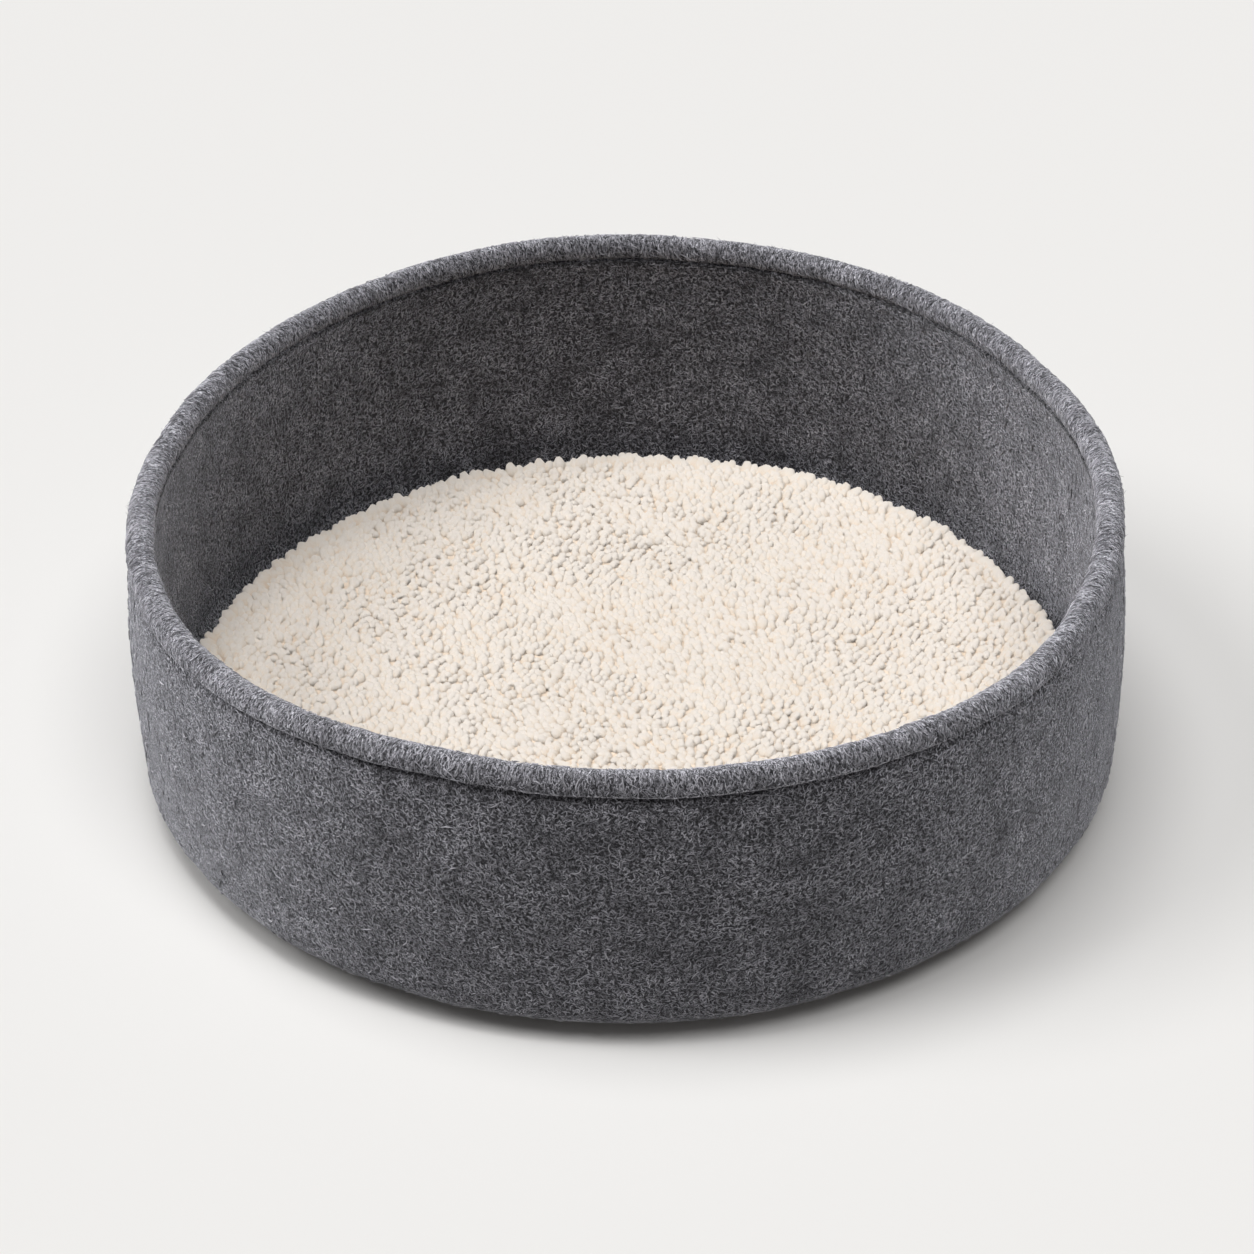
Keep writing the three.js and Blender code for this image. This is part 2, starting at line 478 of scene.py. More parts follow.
def tube_faces(count, rings, sides):
    """Faces of many separate tubes, each with flat ends."""
    ring = np.arange(sides)
    quads = []
    for i in range(rings - 1):
        a = i * sides + ring
        b = i * sides + (ring + 1) % sides
        quads.append(np.stack([a, b, b + sides, a + sides], 1))
    quads = np.concatenate(quads)
    ends = np.stack([ring[::-1], (rings - 1) * sides + ring])
    offset = (np.arange(count) * rings * sides)[:, None, None]
    return [(quads[None] + offset).reshape(-1, 4), (ends[None] + offset).reshape(-1, sides)]


def fibres(name, seed, limits, angle, along, length, width, heading, curl, lift, tone):
    """Many small curved fibres on the cloth. angle to tone are arrays with one value a fibre."""
    count = len(angle)
    t = np.linspace(-0.5, 0.5, FIBRE_POINTS)[None, :]
    turn = heading[:, None] + curl[:, None] * t
    step = length[:, None] / (FIBRE_POINTS - 1)
    round_way = np.cumsum(np.cos(turn) * step, 1)
    long_way = np.cumsum(np.sin(turn) * step, 1)
    radius = np.maximum(np.interp(along, ALONG, SECTION[:, 0]), 20 * MM)[:, None]
    a = angle[:, None] + (round_way - round_way.mean(1, keepdims=True)) / radius
    s = along[:, None] + long_way - long_way.mean(1, keepdims=True)
    s = np.clip(s, *limits)
    rise = np.random.default_rng(seed).uniform(0, 1, (count, 2))
    ends = np.where(t < 0, rise[:, :1], rise[:, 1:]) * (2 * np.abs(t)) ** 2
    height = width[:, None] * 0.25 + lift[:, None] * ends
    path = on_cloth(a, s, height)
    up = on_cloth(a, s, height + MM) - path
    up /= np.linalg.norm(up, axis=2, keepdims=True)
    forward = np.gradient(path, axis=1)
    forward /= np.linalg.norm(forward, axis=2, keepdims=True)
    side = np.cross(forward, up)
    side /= np.linalg.norm(side, axis=2, keepdims=True)
    thin = (1 - 0.75 * (2 * np.abs(t)) ** 3) * width[:, None] / 2
    points = []
    for k in range(FIBRE_SIDES):
        way = TAU * k / FIBRE_SIDES + math.pi / 2
        spoke = math.cos(way) * side + math.sin(way) * up
        points.append(path + spoke * thin[..., None])
    points = np.stack(points, 2).reshape(-1, 3)
    faces = tube_faces(count, FIBRE_POINTS, FIBRE_SIDES)
    return mesh_from_arrays(name, points, faces, np.repeat(tone, FIBRE_POINTS * FIBRE_SIDES))


def scattered(seed, count, low, high):
    """Even random places on the cloth between two distances along the section."""
    rng = np.random.default_rng(seed)
    along = rng.uniform(low, high, count)
    return rng, rng.uniform(0, TAU, count), along


def wall_fibres(name, seed, count, low, high):
    """Fibres that lie every way on a stretch of wall."""
    rng, angle, along = scattered(seed, count, low, high)
    length = rng.uniform(3.0, 7.5, count) * MM
    width = rng.uniform(0.3, 0.8, count) * MM
    heading = rng.uniform(0, math.pi, count)
    curl = rng.normal(0, 1.8, count)
    stands = rng.uniform(0, 1, count) < LOOSE_ON_WALL
    lift = np.where(stands, rng.uniform(0.8, 2.2, count), rng.uniform(0, 0.35, count)) * MM
    width = np.where(stands, 0.25 * MM, width)
    tone = rng.beta(2, 2.5, count)
    limits = (low, high)
    return fibres(name, seed, limits, angle, along, length, width, heading, curl, lift, tone)


def rim_fibres(name, seed, count):
    """Fibres that the fold has drawn out across the rim."""
    low, high = ALONG_CUT + 2.5 * MM, ALONG_STITCH - 1 * MM
    rng, angle, along = scattered(seed, count, low, high)
    length = rng.uniform(4.0, 9.0, count) * MM
    width = rng.uniform(0.3, 0.75, count) * MM
    heading = math.pi / 2 + rng.normal(0.35, 0.45, count)
    curl = rng.normal(0.4, 1.1, count)
    stands = rng.uniform(0, 1, count) < LOOSE_ON_RIM
    lift = np.where(stands, rng.uniform(0.8, 2.6, count), rng.uniform(0, 0.3, count)) * MM
    width = np.where(stands, 0.3 * MM, width)
    length = np.where(stands, length * 0.7, length)
    tone = rng.beta(2, 2, count)
    limits = (low, high)
    return fibres(name, seed, limits, angle, along, length, width, heading, curl, lift, tone)


outer = wall_fibres("fibres_outer_wall", 11, 6400, along_at("lower", 3), ALONG_CUT - 2 * MM)
inner = wall_fibres("fibres_inner_wall", 12, 2800, ALONG_STITCH + 2 * MM, along_at("inner_edge", 0))
rim = rim_fibres("fibres_rim", 13, 4000)
print("fibres:", [triangles(f) for f in (outer, inner, rim)], "triangles")

# %% [markdown]
# The hem is held by one row of stitches. They lie in a groove that the pulled thread draws into
# the inside of the rim, each nearly 4 mm long with a short gap where the thread dives through.
# One stitch is modelled, a small rounded bar that sinks at both ends, and set round the rim.

# %% Stitches
STITCH_PITCH = 4.5 * MM
STITCH_LENGTH = 3.7 * MM
THREAD = 0.75 * MM
STITCH_SINK = 0.55 * MM  # how deep its ends go into the felt


def one_stitch():
    """A stitch along X, its thread sinking at both ends."""
    deselect()
    bpy.ops.mesh.primitive_cylinder_add(vertices=6, radius=THREAD / 2, depth=STITCH_LENGTH,
                                        end_fill_type="NGON", rotation=(0, math.pi / 2, 0))
    stitch = named("one_stitch")
    bpy.ops.object.transform_apply(location=False, rotation=True, scale=False)
    bpy.ops.object.mode_set(mode="EDIT")
    for cut in (-0.34, -0.12, 0.12, 0.34):
        bpy.ops.mesh.select_all(action="SELECT")
        bpy.ops.mesh.bisect(plane_co=(cut * STITCH_LENGTH, 0, 0), plane_no=(1, 0, 0))
    bpy.ops.object.mode_set(mode="OBJECT")
    p = points_of(stitch)
    share = np.abs(p[:, 0]) / (STITCH_LENGTH / 2)
    slim = 1 - 0.45 * share**3
    p[:, 1] *= slim
    p[:, 2] = p[:, 2] * slim - STITCH_SINK * share**4
    set_points(stitch, p)
    return stitch


def copied_faces(model, count):
    """The faces of many copies of a small piece, one array for each number of corners."""
    by_size = {}
    for face in model.data.polygons:
        by_size.setdefault(len(face.vertices), []).append(list(face.vertices))
    offset = (np.arange(count) * len(model.data.vertices))[:, None, None]
    return [(np.array(f)[None] + offset).reshape(-1, len(f[0])) for f in by_size.values()]


def stitch_row(name, model):
    """Copies of the one stitch all round the groove, joined in one mesh."""
    shape = points_of(model)
    radius = np.interp(ALONG_STITCH, ALONG, SECTION[:, 0])
    count = round(TAU * radius / STITCH_PITCH)
    rng = np.random.default_rng(21)
    middle = np.arange(count) * TAU / count + rng.normal(0, 0.0006, count)
    slant = rng.normal(0.05, 0.05, count)[:, None]
    stretch = rng.normal(1, 0.06, count)[:, None]
    x, y, z = (shape[None, :, i] for i in range(3))
    angle = middle[:, None] + (x * stretch - y * slant) / radius
    along = ALONG_STITCH + y + x * slant + rng.normal(0, 0.1, count)[:, None] * MM
    points = on_cloth(angle, along, z - 0.05 * MM).reshape(-1, 3)
    faces = copied_faces(model, count)
    tone = np.repeat(rng.uniform(0, 1, count), len(shape))
    bpy.data.objects.remove(model)
    return mesh_from_arrays(name, points, faces, tone)


stitches = stitch_row("hem_stitches", one_stitch())
print("stitches:", triangles(stitches), "triangles")

# %% [markdown]
# The pad is a soft round cushion that fills the floor. Its body is made the way filled cloth is
# usually made here: a plain disc with rounded edges is remeshed into small even faces, blown up a
# little by a cloth simulation with pressure and no gravity, and held to a few millimetres. The
# pile is planted on it afterwards.

# %% The pad's body
PILE = 1.9 * MM
PAD_GAP = 1.5 * MM
PAD_SEAT = 0.3 * MM
PAD_TOP_EDGE = FLOOR + 19.8 * MM
PAD_CROWN = 2.5 * MM
PAD_VOXEL = 5 * MM
PAD_SWELL = 5 * MM
PAD_ROUNDING = 8 * MM
PAD_FLAT_RADIUS = 200 * MM  # its underside, inside the rounded edge of the tub's floor
PAD_RADIUS = wall_radius(LOWER_EDGE[1]) - WALL - PAD_GAP
SWELL_FRAMES = 20


def flat_disc(name, radius, low, high, flat_radius):
    """A disc with a rounded top edge and a side that draws in to its flat underside."""
    deselect()
    bpy.ops.mesh.primitive_cylinder_add(vertices=128, radius=radius, depth=high - low,
                                        location=(AXIS[0], AXIS[1], (low + high) / 2))
    disc = named(name)
    bpy.ops.object.transform_apply(location=True, rotation=False, scale=False)
    for side, wanted in ((-1, flat_radius), (1, radius - PAD_ROUNDING)):
        bpy.ops.object.mode_set(mode="EDIT")
        bpy.ops.mesh.select_mode(type="FACE")
        bpy.ops.mesh.select_all(action="DESELECT")
        bpy.ops.object.mode_set(mode="OBJECT")
        for face in disc.data.polygons:
            face.select = face.normal.z * side > 0.9
        bpy.ops.object.mode_set(mode="EDIT")
        bpy.ops.mesh.inset(thickness=(radius - wanted) * 0.35, depth=0)
        share = wanted / (radius - (radius - wanted) * 0.35)
        bpy.ops.transform.resize(value=(share, share, 1))
    bpy.ops.object.mode_set(mode="OBJECT")
    p = points_of(disc)
    middle = (low + high) / 2
    bottom_rim = (p[:, 2] < middle) & (np.hypot(p[:, 0], p[:, 1]) > flat_radius + 2 * MM)
    p[bottom_rim, 2] = low + (high - low) * 0.45
    top_rim = (p[:, 2] > middle) & (np.hypot(p[:, 0], p[:, 1]) > radius - 4 * MM)
    p[top_rim, 2] = high - 3.5 * MM
    set_points(disc, p)
    return disc


def even_faces(thing, voxel):
    only(thing)
    thing.data.remesh_voxel_size = voxel
    bpy.ops.object.voxel_remesh()


def swell(thing, cap):
    """Blows the piece up a little as filled cloth, and holds every point within the cap."""
    before = points_of(thing)
    only(thing)
    bpy.ops.object.modifier_add(type="CLOTH")
    cloth = thing.modifiers[-1]
    cloth.settings.use_pressure = True
    cloth.settings.uniform_pressure_force = 4
    cloth.settings.effector_weights.gravity = 0
    cloth.settings.tension_stiffness = 12
    cloth.settings.compression_stiffness = 8
    cloth.point_cache.frame_start = 1
    cloth.point_cache.frame_end = SWELL_FRAMES
    for step in range(1, SWELL_FRAMES + 1):
        bpy.context.scene.frame_set(step)
    apply_modifiers(thing)
    bpy.context.scene.frame_set(1)
    moved = points_of(thing) - before
    far = np.linalg.norm(moved, axis=1, keepdims=True)
    held = before + moved * np.minimum(1, cap / np.maximum(far, 1e-9))
    return held, float(far.mean())


def soft_hills(x, y):
    """Slow hills of a loose pad, about -1 to 1."""
    return (np.sin(x * 31 + 1.7 * np.sin(y * 23)) * np.sin(y * 37 + 1.3 * np.sin(x * 19))
            + 0.5 * np.sin(x * 83 + 2.1 * np.sin(y * 61)) * np.sin(y * 97))


def keep_inside(p):
    """Holds the pad's points on the floor, under the pile and off the wall."""
    flat = p - AXIS
    radius = np.hypot(flat[:, 0], flat[:, 1])
    crown = PAD_TOP_EDGE + PAD_CROWN * (1 - (radius / PAD_RADIUS) ** 2) - PILE
    shoulder = np.clip((radius - PAD_RADIUS + 18 * MM) / (14 * MM), 0, 1)
    crown = crown + 0.8 * MM * soft_hills(p[:, 0], p[:, 1]) - 2.5 * MM * shoulder**2
    most = (PAD_RADIUS - 3.5 * MM) / np.maximum(radius, 1e-6)
    p = AXIS + flat * np.stack([np.minimum(1, most)] * 2 + [np.ones(len(p))], 1)
    p[:, 2] = np.clip(p[:, 2], FLOOR + PAD_SEAT, crown)
    return p


def pad_body():
    """The finished body, without its pile."""
    low = FLOOR + PAD_SEAT
    high = PAD_TOP_EDGE - PILE + 1.0 * MM
    body = flat_disc("pad_fleece", PAD_RADIUS - 4 * MM, low, high, PAD_FLAT_RADIUS)
    even_faces(body, PAD_VOXEL)
    p, moved = swell(body, PAD_SWELL)
    print("the pad swelled by", round(moved / MM, 2), "mm")
    set_points(body, keep_inside(p))
    smooth(body)
    return body


pad = pad_body()
print("pad body:", triangles(pad), "triangles")

# %% [markdown]
# Curly fleece is thousands of small locks of wool, each a soft tapering tuft four or five
# millimetres across. One lock is modelled: a six-sided bar is cut across and drawn in to its tip.
# Copies of it, each turned, bent and sized a little differently, are planted on the pad's body so
# close that they run into each other and only their tips show. They lie with their neighbours, as
# pile that has been stroked does, and round the edge they stand out longer, as a fringe of teeth.

# %% One lock of fleece
LOCK_LENGTH = 7 * MM
LOCK_WIDTH = 5.4 * MM
LOCK_SIDES = 6
LOCK_SUNK = 3.5 * MM
LOCK_CUT = 0.62  # share of its length from which it draws in faster


def one_lock():
    """A lock that stands on the XY plane: widest at its root, and drawn in to its tip."""
    deselect()
    bpy.ops.mesh.primitive_cylinder_add(vertices=LOCK_SIDES, radius=LOCK_WIDTH / 2,
                                        depth=LOCK_LENGTH, location=(0, 0, LOCK_LENGTH / 2),
                                        end_fill_type="NGON")
    lock = named("one_lock")
    bpy.ops.object.transform_apply(location=True, rotation=False, scale=False)
    bpy.ops.object.mode_set(mode="EDIT")
    bpy.ops.mesh.select_all(action="SELECT")
    bpy.ops.mesh.bisect(plane_co=(0, 0, LOCK_CUT * LOCK_LENGTH), plane_no=(0, 0, 1))
    bpy.ops.object.mode_set(mode="OBJECT")
    p = points_of(lock)
    full = np.interp(p[:, 2] / LOCK_LENGTH, [0, LOCK_CUT, 1.0], [1.1, 0.9, 0.45])
    p[:, :2] *= full[:, None]
    set_points(lock, p)
    return lock


def bent(points, bend):
    """Bends upright points over towards +X: bend is the angle that the tip turns through."""
    height = points[..., 2]
    angle = bend * height / LOCK_LENGTH
    radius = LOCK_LENGTH / bend
    x = radius * (1 - np.cos(angle)) + points[..., 0] * np.cos(angle)
    z = radius * np.sin(angle) - points[..., 0] * np.sin(angle)
    y = np.broadcast_to(points[..., 1], x.shape)
    return np.stack([x, y, z], -1)


# %% Planting the locks
LOCK_SPACING = 4.15 * MM
ROW_SHARE = 0.866  # rows of close-packed locks are this share of the spacing apart
SCATTER = 0.18
EDGE_BAND = 11 * MM  # how far in from the pad's side the pile turns into a fringe
EDGE_ROWS = [  # up the pad's side: share of its height, spacing and length beside the other locks
    (0.25, 0.8, 0.8), (0.6, 0.8, 0.85), (0.95, 0.85, 1.35),
]


def pile_places(body):
    """Roots, directions and lengths of the locks, over the top and round the side of the pad."""
    tree = BVHTree.FromObject(body, bpy.context.evaluated_depsgraph_get())
    rng = np.random.default_rng(31)
    roots, ways, lengths = [], [], []
    reach = PAD_RADIUS - 7 * MM
    rows = int(reach / (LOCK_SPACING * ROW_SHARE)) + 1
    for j in range(-rows, rows + 1):
        for i in range(-rows, rows + 1):
            x = (i + 0.5 * (j % 2)) * LOCK_SPACING + rng.normal(0, SCATTER) * LOCK_SPACING
            y = j * LOCK_SPACING * ROW_SHARE + rng.normal(0, SCATTER) * LOCK_SPACING
            if math.hypot(x, y) > reach:
                continue
            hit = tree.ray_cast(Vector((x + AXIS[0], y + AXIS[1], 1)), Vector((0, 0, -1)))
            if hit[0] is not None:
                roots.append(hit[0])
                ways.append(hit[1])
                lengths.append(0.88 if math.hypot(x, y) > PAD_RADIUS - EDGE_BAND else 1.0)
    for row, (height, spacing, length) in enumerate(EDGE_ROWS):
        count = int(TAU * PAD_RADIUS / (LOCK_SPACING * spacing))
        for i in range(count):
            angle = (i + 0.5 * row + rng.normal(0, 0.15)) * TAU / count
            out = Vector((math.cos(angle), math.sin(angle), 0))
            z = FLOOR + PAD_SEAT + height * (PAD_TOP_EDGE - PILE - FLOOR)
            start = Vector((AXIS[0], AXIS[1], z)) + out * 0.4
            hit = tree.ray_cast(start, -out)
            if hit[0] is not None:
                roots.append(hit[0])
                ways.append((out + Vector((0, 0, 2.2 * height**2 + 0.2))).normalized())
                lengths.append(length)
    return np.array(roots), np.array(ways), np.array(lengths)


def stroked(x, y):
    """Which way the pile lies at a place: slow whorls."""
    return (1.6 * np.sin(x * 21 + 1.3 * np.sin(y * 33)) + 1.4 * np.sin(y * 27 + 1.1 * np.sin(x * 41))
            + 0.9 * np.sin(x * 90 + y * 60))


def plant(names, model, body):
    """Plants copies of the lock on the pad and shares them out over several meshes."""
    shape = points_of(model)
    roots, ways, lengths = pile_places(body)
    count = len(roots)
    rng = np.random.default_rng(32)
    bend = rng.uniform(0.2, 0.8, count)
    edge = np.hypot(roots[:, 0] - AXIS[0], roots[:, 1] - AXIS[1])
    at_edge = np.clip((edge - (PAD_RADIUS - EDGE_BAND)) / (4 * MM), 0, 1)
    slim = 1 - 0.2 * at_edge[:, None] - 0.35 * at_edge[:, None] * shape[:, 2] / LOCK_LENGTH
    tall = rng.normal(1.0, 0.09, count) * lengths
    locks = shape[None] * np.stack([slim, slim, np.ones_like(slim)], -1)
    curl = bent(locks, bend[:, None] * (1 - 0.6 * at_edge[:, None])) * tall[:, None, None]
    lean = rng.normal(0.12, 0.12, count) * (1 - at_edge)
    out_way = np.arctan2(roots[:, 1] - AXIS[1], roots[:, 0] - AXIS[0])
    heading = stroked(roots[:, 0], roots[:, 1]) + rng.normal(0, 0.7, count)
    across = np.cos(heading) * (1 - at_edge) + np.cos(out_way) * at_edge
    beside = np.sin(heading) * (1 - at_edge) + np.sin(out_way) * at_edge
    flow = np.stack([across, beside, np.zeros(count)], 1)
    up = ways + flow * lean[:, None]
    up /= np.linalg.norm(up, axis=1, keepdims=True)
    ahead = flow - up * (flow * up).sum(1, keepdims=True)
    ahead /= np.linalg.norm(ahead, axis=1, keepdims=True)
    side = np.cross(up, ahead)
    local = curl[..., 0:1] * ahead[:, None] + curl[..., 1:2] * side[:, None]
    sunk = (LOCK_SUNK * (1 - 0.3 * at_edge))[:, None, None]
    points = local + (curl[..., 2:3] - sunk) * up[:, None] + roots[:, None]
    top = PAD_TOP_EDGE + PAD_CROWN + 3 * MM
    points[..., 2] = np.clip(points[..., 2], FLOOR + PAD_SEAT, top)
    tip = np.broadcast_to(shape[None, :, 2] / LOCK_LENGTH, (count, len(shape)))
    # painted shade and painted through-light: each lock's tone runs from dark warm roots to pale
    # tips
    tone = 0.25 + tip * 0.6 + rng.uniform(0, 0.1, count)[:, None]
    pieces = []
    for part, name in enumerate(names):
        mine = np.arange(part, count, len(names))
        faces = copied_faces(model, len(mine))
        pieces.append(mesh_from_arrays(name, points[mine].reshape(-1, 3), faces, tone[mine].ravel()))
    bpy.data.objects.remove(model)
    print("pile:", count, "locks of", len(shape), "points")
    return pieces


pile = plant(["pad_locks_a", "pad_locks_b", "pad_locks_c"], one_lock(), pad)
felt_parts = (tub, outer, inner, rim, stitches)
fleece_parts = (pad, *pile)
print("pile:", [triangles(p) for p in pile], "triangles")

# %% [markdown]
# Materials are node trees. To keep them readable, a socket is wrapped in a small class, so that a
# sum in Python adds the Math nodes for it, and one method adds every other kind of node.

# %% Shader sums
class Signal:
    """A socket of a material that can be used in sums."""

    def __init__(self, finish, socket):
        self.finish = finish
        self.socket = socket

    def math(self, operation, *others, clamp=False):
        values = dict(enumerate((self,) + others))
        return self.finish.node("Math", dict(operation=operation, use_clamp=clamp), values)

    def __add__(self, other):
        return self.math("ADD", other)

    def __sub__(self, other):
        return self.math("SUBTRACT", other)

    def __mul__(self, other):
        return self.math("MULTIPLY", other)

    def __rsub__(self, other):
        return (self * -1).math("ADD", other)

    __radd__ = __add__
    __rmul__ = __mul__

    def size(self):
        return self.math("ABSOLUTE")

    def clipped(self):
        return self.math("ADD", 0.0, clamp=True)


class Finish:
    """A material and its node tree."""

    def __init__(self, name, **constants):
        self.material = bpy.data.materials.new(name)
        self.material.use_nodes = True
        self.tree = self.material.node_tree
        self.tree.nodes.clear()
        self.shader = self.tree.nodes.new("ShaderNodeBsdfPrincipled")
        output = self.tree.nodes.new("ShaderNodeOutputMaterial")
        self.tree.links.new(self.shader.outputs[0], output.inputs["Surface"])
        for name, value in constants.items():
            self.shader.inputs[name.replace("_", " ")].default_value = value

    def plug(self, socket, value):
        if isinstance(value, Signal):
            self.tree.links.new(value.socket, socket)
        else:
            socket.default_value = value

    def node(self, kind, settings=None, values=None, out=0):
        """Adds a node: its settings first, then the values or links of its sockets."""
        made = self.tree.nodes.new("ShaderNode" + kind)
        for name, value in (settings or {}).items():
            if name == "stops":
                ramp = made.color_ramp.elements
                while len(ramp) < len(value):
                    ramp.new(0.5)
                for stop, (place, colour) in zip(ramp, value):
                    stop.position = place
                    stop.color = colour
            else:
                setattr(made, name, value)
        for name, value in (values or {}).items():
            self.plug(made.inputs[name], value)
        if isinstance(out, tuple):
            return [Signal(self, made.outputs[i]) for i in out]
        return Signal(self, made.outputs[out])

    def feed(self, **signals):
        for name, value in signals.items():
            self.plug(self.shader.inputs[name.replace("_", " ")], value)

    def moved(self, place, seed):
        """The same places, shifted so that a pattern on them comes out different."""
        shift = (0.13 * seed, 0.07 * seed, 0.11 * seed)
        return self.node("VectorMath", dict(operation="ADD"), {0: place, 1: shift})

    def noise(self, place, grain, detail, seed):
        """Soft random values about 0.5, with blotches of about the grain's size in metres."""
        values = {"Vector": self.moved(place, seed), "Scale": 1 / grain, "Detail": detail}
        return self.node("TexNoise", values=values)


# %% [markdown]
# Heathered felt mixes dark, middle and light grey wool. Close up it is a tangle of short curly
# strokes, made here in two ways. Some are drawn one to a cell of a random pattern, on the map of
# the cloth. Others are what is left of a soft noise where it crosses its middle value: a thin
# winding line, broken up by a slower noise. They lie over a mottled ground. Over the rim the fold
# draws the fibres out, so there the strokes turn across it and more winding lines are stretched.

# %% Felt
def grey(level, warmth=0.0):
    """A grey of wool, given as linear light, a little cooler or warmer."""
    return (level * (1 + warmth), level * 0.985, level * (1.09 - warmth), 1.0)


def winding_lines(finish, place, grain, width, seed):
    """Thin winding lines, 1 on the line and 0 off it."""
    field = finish.noise(place, grain, 1, seed)
    line = 1 - (field - 0.5).size() * (1 / width)
    broken = finish.noise(place, grain * 1.7, 0, seed + 7)
    return line.clipped() * ((broken - 0.42) * 6).clipped()


def curly_strokes(finish, cloth, cell, width, seed, heading, spread):
    """One short bent stroke in every cell of a random pattern: 1 on a stroke, 0 off it."""
    moved = finish.moved(cloth, seed)
    colour, centre = finish.node("TexVoronoi", dict(voronoi_dimensions="2D"),
                                 {"Vector": moved, "Scale": 1 / cell}, out=(1, 2))
    away = finish.node("VectorMath", dict(operation="SUBTRACT"), {0: moved, 1: centre})
    x, y = finish.node("SeparateXYZ", values={0: away}, out=(0, 1))
    chance, bend, bright = finish.node("SeparateColor", values={0: colour}, out=(0, 1, 2))
    turn = heading + chance * spread
    c, s = turn.math("COSINE"), turn.math("SINE")
    along = x * c + y * s
    across = y * c - x * s + (bend - 0.5) * along * along * (3.0 / cell)
    line = (1.3 - across.size() * (2.6 / width)).clipped()
    ends = (3 - along.size() * (6 / cell)).clipped()
    return line * ends * (0.3 + bright * 0.7)


def felt_finish():
    felt = Finish("grey_wool_felt", Roughness=0.95, Sheen_Weight=0.6, Sheen_Roughness=0.3,
                  Sheen_Tint=(0.8, 0.82, 0.88, 1), Specular_IOR_Level=0.15)
    place = felt.node("TexCoord", out=3)
    cloth = felt.node("TexCoord", out=2)
    round_way, along = felt.node("SeparateXYZ", values={0: cloth}, out=(0, 1))
    middle = (ALONG_CUT + 4 * MM + ALONG_STITCH) / 2
    half = ALONG_STITCH - middle
    across_rim = (along - middle) * (1 / half)
    on_rim = ((0.95 - across_rim.size()) * 5).clipped()
    mottle = felt.noise(place, 16 * MM, 2, 1)
    ground = felt.noise(place, 1.1 * MM, 1, 2)
    heading = on_rim * (math.pi / 2 - 0.5)
    spread = math.pi - on_rim * (math.pi - 1.0)
    strokes = curly_strokes(felt, cloth, 3.3 * MM, 0.9 * MM, 1, heading, spread)
    for cell, width, seed in ((2.2, 0.75, 2), (2.7, 0.8, 3)):
        more = curly_strokes(felt, cloth, cell * MM, width * MM, seed, heading, spread)
        strokes = strokes.math("MAXIMUM", more)
    swirl = winding_lines(felt, place, 1.7 * MM, 0.055, 3)
    dark = winding_lines(felt, place, 1.7 * MM, 0.06, 5)
    arcs = felt.node("CombineXYZ", values={0: round_way + across_rim * across_rim * (4 * MM),
                                           1: along * 0.3})
    drawn = winding_lines(felt, arcs, 1.3 * MM, 0.075, 6)
    parted = winding_lines(felt, arcs, 1.5 * MM, 0.05, 7)
    strokes = strokes.math("MAXIMUM", swirl * 0.8) * (0.95 + (mottle - 0.5) * 1.1)
    strokes = strokes.math("MAXIMUM", drawn * on_rim)
    # painted highlight: a lighter band on the lip of the hem's cut edge, where light catches it
    painted_hem_highlight = (1.4 - (along - (ALONG_CUT + 2.9 * MM)).size() * (1 / (1.1 * MM))).clipped()
    # painted shadow: a dark line just under the hem's cut edge, where the turned-down lip shades the
    # wall
    painted_shadow_under_hem = (1.4 - (along - ALONG_CUT).size() * (1 / (1.4 * MM))).clipped()
    # painted shade: the felt is darker in the groove of the stitches
    painted_groove_shade = (1 - (along - ALONG_STITCH).size() * (1 / (1.4 * MM))).clipped()
    tone = 0.14 + (mottle - 0.5) * 0.2 + (ground - 0.5) * 0.85 + strokes * 0.74 - dark * 0.32
    tone = tone + on_rim * 0.07 - parted * on_rim * 0.26
    # painted light in the felt's colour: a highlight on the hem's lip, a shadow line under it, and
    # shade in the stitch groove
    tone = tone + painted_hem_highlight * 0.34 - painted_shadow_under_hem * 0.8 - painted_groove_shade * 0.4
    stops = [(0.0, grey(0.018)), (0.25, grey(0.07)), (0.6, grey(0.26)), (1.0, grey(0.66, 0.01))]
    colour = felt.node("ValToRGB", dict(stops=stops), {0: tone.clipped()})
    height = strokes * 0.9 + ground * 0.5 - dark * 0.4 - parted * on_rim * 0.5
    bump = {"Strength": 1.0, "Distance": 0.7 * MM, "Height": height}
    felt.feed(Base_Color=colour, Normal=felt.node("Bump", values=bump))
    return felt.material


def fibre_finish():
    wool = Finish("loose_wool_fibre", Roughness=0.9, Sheen_Weight=0.3, Specular_IOR_Level=0.2)
    tone = wool.node("Attribute", dict(attribute_name="tone"), out=2)
    stops = [(0.0, grey(0.068)), (0.5, grey(0.215)), (1.0, grey(0.48, 0.01))]
    wool.feed(Base_Color=wool.node("ValToRGB", dict(stops=stops), {0: tone}))
    return wool.material


def thread_finish():
    thread = Finish("grey_sewing_thread", Roughness=0.6, Sheen_Weight=0.15)
    place = thread.node("TexCoord", out=3)
    tone = thread.node("Attribute", dict(attribute_name="tone"), out=2)
    twist = thread.node("TexWave", dict(wave_type="BANDS", bands_direction="DIAGONAL"),
                        {"Vector": place, "Scale": 900.0, "Distortion": 0.5})
    stops = [(0.0, grey(0.02)), (1.0, grey(0.11))]
    colour = thread.node("ValToRGB", dict(stops=stops), {0: tone * 0.7 + twist * 0.3})
    bump = {"Strength": 0.4, "Distance": 0.1 * MM, "Height": twist}
    thread.feed(Base_Color=colour, Normal=thread.node("Bump", values=bump))
    return thread.material


# %% [markdown]
# Fleece is cream wool that lets light through, so its locks shade far less than solid pegs would.
# Real light in every lock would take long to render. Instead the colour is painted warmer and darker
# toward the roots, as painted shade and painted light passing through the wool, and the normals are
# turned most of the way up, which evens the shading and keeps the shadows.

# %% Fleece
PILE_LIFT = 2.6  # how much of straight up is added to the way each face looks


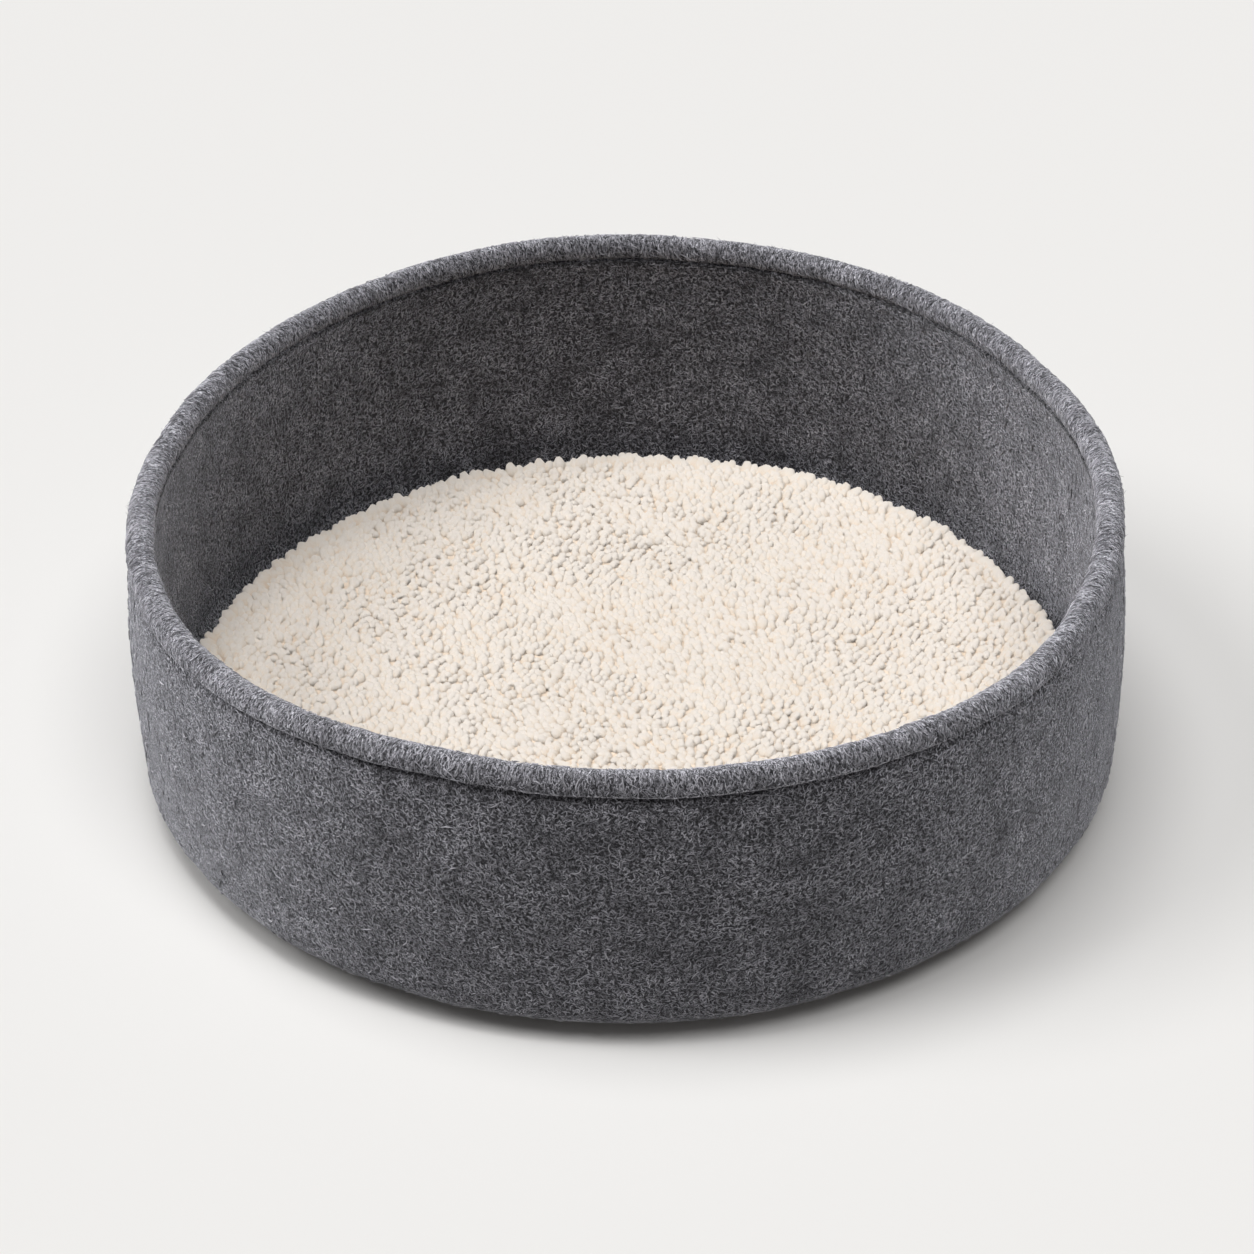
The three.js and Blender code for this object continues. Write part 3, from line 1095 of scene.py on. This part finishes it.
def fleece_finish(name, ground):
    """Cream wool, pale at the tips, with painted shade: warmer and a little darker toward the roots.
    """
    fleece = Finish(name, Roughness=0.9, Sheen_Weight=0.15, Sheen_Roughness=0.5,
                    Sheen_Tint=(1.0, 0.93, 0.85, 1), Specular_IOR_Level=0.05)
    place = fleece.node("TexCoord", out=3)
    patch = fleece.noise(place, 22 * MM, 2, 1)
    strand = fleece.noise(place, 1.2 * MM, 1, 2)
    if ground:
        tone = 0.55 + (patch - 0.5) * 0.3
    else:
        tip = fleece.node("Attribute", dict(attribute_name="tone"), out=2)
        tone = tip + (patch - 0.5) * 0.3 + (strand - 0.5) * 0.2
    # painted shade: thin darker winding lines stand for the shaded creases between the locks
    tone = tone - winding_lines(fleece, place, 6 * MM, 0.05, 4) * 0.15
    stops = [(0.4, (0.77, 0.62, 0.48, 1)), (0.66, (0.835, 0.745, 0.645, 1)),
             (0.85, (0.85, 0.785, 0.715, 1))]
    colour = fleece.node("ValToRGB", dict(stops=stops), {0: tone.clipped()})
    facing = fleece.node("NewGeometry", out=1)
    lifted = fleece.node("VectorMath", dict(operation="ADD"), {0: facing, 1: (0, 0, PILE_LIFT)})
    lifted = fleece.node("VectorMath", dict(operation="NORMALIZE"), {0: lifted})
    bump = {"Strength": 0.3, "Distance": 0.3 * MM, "Height": strand, "Normal": lifted}
    fleece.feed(Base_Color=colour, Normal=fleece.node("Bump", values=bump))
    return fleece.material


def wear(thing, material):
    thing.data.materials.clear()
    thing.data.materials.append(material)


wear(tub, felt_finish())
loose_wool = fibre_finish()
for piece in (outer, inner, rim):
    wear(piece, loose_wool)
wear(stitches, thread_finish())
wear(pad, fleece_finish("cream_fleece_ground", True))
curls = fleece_finish("cream_fleece_locks", False)
for piece in pile:
    wear(piece, curls)
print("materials:", len(bpy.data.materials))

# %% [markdown]
# The room is a sheet of pale paper under soft studio light. Three wide lamps light everything: one
# almost overhead and a key lamp on the left, which lay the soft shadow to the right, and one in
# front. In the photograph the felt is bright along both its sides and its rim while the paper is
# even. Low lamps at the sides and the back do that, and a studio keeps them off the paper and the
# pad with flags. Here the same is done with light linking: those lamps light only the felt. The
# paper also has a very faint painted glow that lifts its shadows, weaker under the bed as painted
# shade.

# %% Floor and light
def studio_floor():
    deselect()
    bpy.ops.mesh.primitive_plane_add(size=12, location=(0, 1, 0))
    floor = named("studio_floor")
    bpy.ops.object.transform_apply(location=True, rotation=False, scale=False)
    paper = Finish("studio_paper", Roughness=0.8, Base_Color=(0.80, 0.791, 0.777, 1),
                   Specular_IOR_Level=0.1, Emission_Strength=1.0)
    x, y = paper.node("SeparateXYZ", values={0: paper.node("TexCoord", out=3)}, out=(0, 1))
    # painted light: the paper glows faintly to lift its shadows, and less near the bed as painted
    # contact shade
    away = (x * x + y * y).math("SQRT")
    painted_glow_away_from_bed = ((away - (RIM_RADIUS - 24 * MM)) * (1 / (20 * MM))).clipped()
    stops = [(0.0, (0.014, 0.013, 0.012, 1)), (1.0, (0.05, 0.048, 0.046, 1))]
    paper.feed(Emission_Color=paper.node("ValToRGB", dict(stops=stops), {0: painted_glow_away_from_bed}))
    wear(floor, paper.material)


LAMP_WIDTH = math.radians(27)


def soft_lamp(name, bearing, above, strength, only_on=None):
    """A wide, far lamp: its bearing from the bed's right and its height, in degrees."""
    lamp = bpy.data.lights.new(name, "SUN")
    lamp.angle = LAMP_WIDTH
    lamp.energy = strength
    thing = bpy.data.objects.new(name, lamp)
    bpy.context.scene.collection.objects.link(thing)
    turn, rise = math.radians(bearing), math.radians(above)
    level = math.cos(rise)
    way = Vector((math.cos(turn) * level, math.sin(turn) * level, math.sin(rise)))
    thing.location = way * 2
    thing.rotation_euler = (-way).to_track_quat("-Z", "Y").to_euler()
    if only_on is not None:
        thing.light_linking.receiver_collection = only_on


def pale_sky(strength):
    world = bpy.data.worlds.new("studio_sky")
    bpy.context.scene.world = world
    world.use_nodes = True
    sky = world.node_tree.nodes["Background"]
    sky.inputs["Color"].default_value = (1.0, 0.995, 0.99, 1)
    sky.inputs["Strength"].default_value = strength


studio_floor()
felt_pieces = bpy.data.collections.new("felt_pieces")
for piece in felt_parts:
    felt_pieces.objects.link(piece)
pale_sky(0.02)
soft_lamp("top_lamp", 178, 82, 1.36)
soft_lamp("key_lamp", 188, 50, 1.1)
soft_lamp("front_lamp", 300, 65, 1.06)
soft_lamp("back_lamp", 90, 30, 1.2, felt_pieces)
soft_lamp("left_rim_lamp", 155, 25, 4.0, felt_pieces)
soft_lamp("right_rim_lamp", 30, 12, 1.95, felt_pieces)
bpy.context.scene.view_settings.view_transform = "Standard"

# %% [markdown]
# Last, every piece is tied to the bed's one body, and the plain solids they replace are hidden.

# %% Tying the pieces to the frame
for piece in (*felt_parts, *fleece_parts):
    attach(piece, "root")
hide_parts("felt_tub")
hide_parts("fleece_pad")
